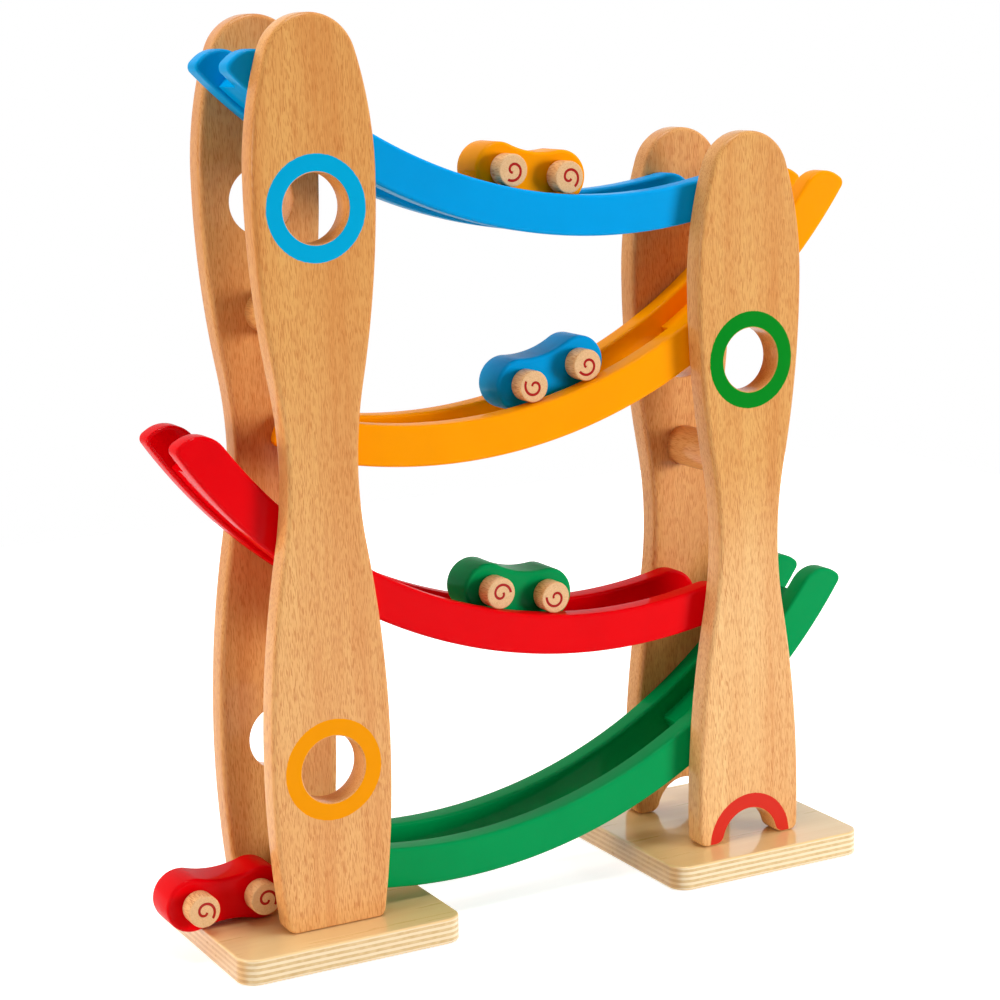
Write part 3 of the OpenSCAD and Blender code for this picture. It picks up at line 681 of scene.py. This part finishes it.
def build_towers():
    """The two bases and the four tower sides."""
    for tower, x in TOWER_X.items():
        mid_y = INNER_Y + PANEL_T / 2
        dx = SCREW_DX[tower]
        bores = [((sx, sy), screw_bore()) for sx in (-dx, dx) for sy in (-mid_y, mid_y)]
        points, faces = board_arrays(plate_outline(BASE_SIDE, BASE_CORNER_R), BASE_T, BASE_EASE, bores)
        add_piece(f"{tower}_plywood_base", points + [x, 0, 0], faces, PLYWOOD[tower], "racer", [f"{tower}_base"])
        h = PANEL_H[tower]
        outline = panel_outline(h)
        share = foot_share(outline)
        if tower == "right":
            outline, share = arched(outline, ARCH_R)
        bores = [((0.0, h - drop), bore_profile(HOLE_R, PANEL_T, HOLE_EASE)) for drop in HOLE_DROPS[tower]]
        points, faces = board_arrays(outline, PANEL_T, PANEL_EASE, bores, share)
        for side, y in (("front", -INNER_Y - PANEL_T), ("back", INNER_Y)):
            stood, turned = upright(points, faces, y)
            add_piece(f"{tower}_{side}_side", stood + [x, 0, BASE_T], turned, BEECH_SIDE[tower, side],
                      "racer", [f"{tower}_{side}_panel"])


# Ramps


def build_ramps():
    """Two rails to a ramp, and the strip between them."""
    for ramp in RAMPS:
        x, z = ramp_centre(ramp)
        points, faces = board_arrays(rail_outline(ramp), RAIL_T, RAIL_EASE)
        for side, y in (("front", -INNER_Y), ("back", INNER_Y - RAIL_T)):
            stood, turned = upright(points, faces, y)
            add_piece(f"{ramp}_{side}_run", stood + [x, 0, z], turned, PAINTED[ramp], "racer",
                      [f"{ramp}_{side}_rail"])
        gap = 2 * (INNER_Y - RAIL_T)
        points, faces = board_arrays(strip_outline(ramp), gap, STRIP_EASE)
        stood, turned = upright(points, faces, -gap / 2)
        add_piece(f"{ramp}_floor_strip", stood + [x, 0, z], turned, PAINTED[ramp], "racer",
                  [f"{ramp}_strip"])


# Turned pieces


def lathe_arrays(profile):
    """Points, faces and polar places of a profile (radius, y) turned about Y. A point's polar place has its length
    along the profile as radius, so each stretch has its own ring there."""
    turn = np.arange(LATHE_STEPS) * 2 * pi / LATHE_STEPS
    ring = np.stack([np.cos(turn), np.sin(turn)], 1)
    r, y = profile[:, 0], profile[:, 1]
    along = np.concatenate([[0], np.cumsum(np.hypot(np.diff(r), np.diff(y)))])
    xz = r[:, None, None] * ring
    points = np.stack([xz[..., 0], np.broadcast_to(y[:, None], xz.shape[:2]), xz[..., 1]], -1).reshape(-1, 3)
    places = (along[:, None, None] * ring).reshape(-1, 2)
    return points, ring_faces(len(r), LATHE_STEPS).tolist(), places


def eased_end(r, ease):
    """Half profile of a round end as (radius, depth) from the middle of the end to its side."""
    t = np.linspace(0, pi / 2, QUARTER + 1)
    rim = np.stack([r - ease + ease * np.sin(t), ease * (1 - np.cos(t))], 1)
    return np.vstack([[POLE_R, 0], [r * 0.35, 0], [r * 0.7, 0], [r - ease - FLAT, 0], rim])


def add_turned(name, points, faces, places, spin, material, body, nodes):
    """Adds a turned piece with its polar places as the map named face, turned by spin radians."""
    piece = add_piece(name, points, faces, material, body, nodes)
    mesh = piece.data
    layer = mesh.uv_layers.new(name="face")
    corner = np.empty(len(mesh.loops), np.int32)
    mesh.loops.foreach_get("vertex_index", corner)
    c, s = cos(spin), sin(spin)
    turned = places @ np.array([[c, s], [-s, c]]) / (2 * WHEEL_R) + 0.5
    layer.data.foreach_set("uv", turned[corner].astype(np.float32).ravel())
    return piece


def build_dowels():
    """The round bar between the two sides of each tower."""
    reach = INNER_Y + DOWEL_SEAT
    end = eased_end(DOWEL_R, DOWEL_EASE)
    profile = np.vstack([end * [1, -1] + [0, reach], end[::-1] - [0, reach]])
    points, faces, places = lathe_arrays(profile)
    for tower, x in TOWER_X.items():
        z = BASE_T + PANEL_H[tower] - DOWEL_DROP[tower]
        add_turned(f"{tower}_round_bar", points + [x, 0, z], faces, places, 0.0, BEECH_ROUND, "racer",
                   [f"{tower}_dowel"])


def wheel_profile():
    """Wheel from the middle of its outer end round its two rims to the bottom of its blind bore, as (radius, y) with
    the outer end at y = 0."""
    end = eased_end(WHEEL_R, WHEEL_EASE)
    bore = AXLE_R + GLUE_GAP
    inner = (end * [1, -1] + [0, WHEEL_LEN])[::-1]
    inner = inner[inner[:, 0] > bore + BORE_MARGIN]
    seat = WHEEL_LEN - AXLE_SEAT - GLUE_GAP
    return np.vstack([end, inner, [[bore, WHEEL_LEN], [bore, seat], [POLE_R, seat]]])


# Cars


def car_place(car):
    """A turn and a shift that put a car drawn about the middle between its axles into its place."""
    if car == "red":
        return np.eye(3), np.array([RED_CAR_X, 0, BASE_T + ROLL_GAP + LOBE_R])
    ramp = CAR_RAMP[car]
    x, z = ramp_centre(ramp)
    a = -high_side(ramp) * radians(CAR_DEG[car])
    turn = np.array([[cos(a), 0, sin(a)], [0, 1, 0], [-sin(a), 0, cos(a)]])
    return turn, turn @ [0, 0, -CAR_RUN_R] + [x, 0, z]


# Turn of each wheel's curl in radians, in the order in which the wheels are made
WHEEL_SPINS = (1.55, 0.4, 0.4, 3.1, 1.2, -1.57, 2.8, -0.42, -1.66, 0.9, -1.79, 1.8, 0.9, 0.67, 3.9, -2.64)


def build_cars():
    """Four cars, each a body and two pairs of wheels. A car's left and right are those of its own way ahead."""
    bore = bore_profile(AXLE_R + RUNNING_GAP, BODY_W, AXLE_BORE_EASE)
    bores = [((sx * WHEELBASE / 2, 0.0), bore) for sx in (-1, 1)]
    points, faces = board_arrays(car_outline(), BODY_W, BODY_EASE, bores)
    peanut, peanut_faces = upright(points, faces, -BODY_W / 2)
    wheel, wheel_faces, places = lathe_arrays(wheel_profile())
    spins = iter(WHEEL_SPINS)
    for car in PAINT:
        turn, shift = car_place(car)
        front_way = -1 if car == "red" else -high_side(CAR_RAMP[car])
        add_piece(f"{car}_car_peanut", peanut @ turn.T + shift, peanut_faces, PAINTED[car], f"{car}_car",
                  [f"{car}_car_body"])
        for end, along in (("front", 1), ("rear", -1)):
            for hand, across in (("left", 1), ("right", -1)):
                way = across * front_way
                outer = way * (BODY_W / 2 + SIDE_GAP + WHEEL_LEN)
                local = wheel * [1, -way, 1] + [along * front_way * WHEELBASE / 2, outer, 0]
                turned = wheel_faces if way > 0 else [face[::-1] for face in wheel_faces]
                add_turned(f"{car}_car_{end}_{hand}_roller", local @ turn.T + shift, turned, places, next(spins),
                           WHEEL_BEECH, f"{car}_car_{end}_wheels", [f"{car}_car_{end}_{hand}_wheel"])


def dress_inner_pieces():
    """The pieces that keep their CAD shape: pegs, screws and axles."""
    for name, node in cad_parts.items():
        finish = STEEL if name.endswith(("_screws", "_axle")) else BEECH_ROUND
        if name.endswith(("_screws", "_axle", "_pegs")):
            node.data.materials.clear()
            node.data.materials.append(finish)


build_towers()
build_ramps()
build_dowels()
build_cars()
dress_inner_pieces()


# Stage, light and camera

CAMERA_AT = Vector((-0.42646, -0.97726, 0.41275))
CAMERA_TURN, CAMERA_TILT, CAMERA_ROLL = 0.499775, -0.188182, 0.017898
CAMERA_LENS, CAMERA_SENSOR, CAMERA_SHIFT_Y = 86.077, 36.0, -0.01896
MIDDLE = Vector((0.105, 0.0, 0.2))


def build_camera():
    """The camera of the main view: turned about Z, then tilted, then rolled about its own line of sight."""
    ahead = Vector((sin(CAMERA_TURN) * cos(CAMERA_TILT), cos(CAMERA_TURN) * cos(CAMERA_TILT), sin(CAMERA_TILT)))
    right = Vector((cos(CAMERA_TURN), -sin(CAMERA_TURN), 0))
    down = ahead.cross(right)
    c, s = cos(CAMERA_ROLL), sin(CAMERA_ROLL)
    right, down = c * right + s * down, c * down - s * right
    data = bpy.data.cameras.new("camera")
    data.lens, data.sensor_width, data.sensor_fit = CAMERA_LENS, CAMERA_SENSOR, "HORIZONTAL"
    data.shift_y = CAMERA_SHIFT_Y
    data.clip_start, data.clip_end = 0.05, 60.0
    camera = bpy.data.objects.new("camera", data)
    columns = Matrix((right, -down, -ahead)).transposed().to_4x4()
    camera.matrix_world = Matrix.Translation(CAMERA_AT) @ columns
    bpy.context.scene.collection.objects.link(camera)
    bpy.context.scene.camera = camera


def add_lamp(name, place, size, watts, colour, mirrored):
    """A round lamp at a place in metres, turned to the toy's middle, which shows in shiny surfaces if mirrored."""
    data = bpy.data.lights.new(name, "AREA")
    data.shape, data.size, data.energy, data.color = "DISK", size, watts, colour
    lamp = bpy.data.objects.new(name, data)
    lamp.location = place
    lamp.visible_camera, lamp.visible_glossy = False, mirrored
    lamp.rotation_euler = (MIDDLE - Vector(place)).to_track_quat("-Z", "Y").to_euler()
    bpy.context.scene.collection.objects.link(lamp)


WHITE, WARM = (1.0, 1.0, 1.0), (1.0, 0.9, 0.76)
# Name, place and width in metres, watts, colour, and whether surfaces mirror it.
LAMPS = (
    ("key_lamp", (1.4, -1.4, 0.35), 0.7, 29.3, WHITE, False),
    ("side_lamp", (-1.6, -0.41, 0.42), 0.45, 9.0, WARM, True),
    ("far_side_lamp", (-1.5, 0.6, 0.42), 0.45, 10.0, WARM, False),
    ("top_lamp", (0.1, -0.1, 1.9), 1.0, 20.0, WHITE, True),
    ("back_lamp", (-0.4, 1.6, 1.5), 1.0, 6.0, WHITE, False),
)
STUDIO_FRONT, STUDIO_BACK = 0.12, 0.38  # how strongly the studio lights from in front and from behind
STUDIO_TURN = (-0.2, 0.6)  # parts of a ray's way along Y between which one turns into the other


def shown_rays(tree):
    """1 for the rays that show the studio as it looks, which the camera sends or a surface mirrors or lets through,
    and 0 for those that only light the toy."""
    rays = tree.nodes.new("ShaderNodeLightPath")
    shown = rays.outputs["Is Camera Ray"]
    for kind in ("Is Glossy Ray", "Is Transmission Ray"):
        either = tree.nodes.new("ShaderNodeMath")
        either.operation = "MAXIMUM"
        tree.links.new(shown, either.inputs[0])
        tree.links.new(rays.outputs[kind], either.inputs[1])
        shown = either.outputs[0]
    return shown


def build_light():
    """Soft lamps in a studio that lights the toy more from behind than from in front, and looks white."""
    for lamp in LAMPS:
        add_lamp(*lamp)
    world = bpy.data.worlds.new("studio")
    bpy.context.scene.world = world
    world.use_nodes = True
    tree = world.node_tree
    back = tree.nodes["Background"]
    way = tree.nodes.new("ShaderNodeTexCoord").outputs["Generated"]
    parts = tree.nodes.new("ShaderNodeSeparateXYZ")
    tree.links.new(way, parts.inputs[0])
    light = tree.nodes.new("ShaderNodeMapRange")
    span = ("From Min", "From Max", "To Min", "To Max")
    for key, value in zip(span, (*STUDIO_TURN, STUDIO_FRONT, STUDIO_BACK)):
        light.inputs[key].default_value = value
    tree.links.new(parts.outputs["Y"], light.inputs["Value"])
    level = tree.nodes.new("ShaderNodeMapRange")
    level.inputs["To Max"].default_value = 1.0
    tree.links.new(light.outputs[0], level.inputs["To Min"])
    tree.links.new(shown_rays(tree), level.inputs["Value"])
    tree.links.new(level.outputs[0], back.inputs["Strength"])
    back.inputs["Color"].default_value = (1, 1, 1, 1)


FLOOR_REACH, FLOOR_Z = 0.9, -0.0004
FLOOR_LIGHT, FLOOR_DARK = (0.79, 0.79, 0.79, 1), (0.77, 0.77, 0.77, 1)
FLOOR_NEAR, FLOOR_FAR = 0.3, 1.2  # metres from the toy's middle between which the lift grows
LIFT_NEAR, LIFT_FAR = 0.7, 0.98


def build_floor():
    """A flat square floor whose own pale colour is lifted to white where it shows, with the toy's shadow kept."""
    u, v = np.meshgrid([-FLOOR_REACH, FLOOR_REACH], [-FLOOR_REACH, FLOOR_REACH])
    corners = np.stack([u + MIDDLE.x, v, np.full((2, 2), FLOOR_Z)], -1).reshape(-1, 3)
    mesh = bpy.data.meshes.new("studio_floor")
    mesh.from_pydata(corners.tolist(), [], [[0, 1, 3, 2]])
    floor = bpy.data.objects.new("studio_floor", mesh)
    bpy.context.scene.collection.objects.link(floor)
    finish = Finish("pale_floor")
    finish.colour(finish.mix(finish.noise(finish.place, 3.0), FLOOR_DARK, FLOOR_LIGHT))
    finish.fixed({"Roughness": 0.9, "Specular IOR Level": 0.1, "Emission Color": (1, 1, 1, 1)})
    off = finish.add("ShaderNodeVectorMath", {0: finish.place, 1: tuple(MIDDLE)}, operation="SUBTRACT").outputs[0]
    away = finish.add("ShaderNodeVectorMath", {0: off}, operation="LENGTH").outputs["Value"]
    lift = finish.span(away, FLOOR_NEAR, FLOOR_FAR, LIFT_NEAR, LIFT_FAR)
    finish.tree.links.new(finish.math("MULTIPLY", shown_rays(finish.tree), lift),
                          finish.shader.inputs["Emission Strength"])
    mesh.materials.append(finish.material)


build_camera()
build_light()
build_floor()
bpy.context.scene.view_settings.view_transform = "Standard"
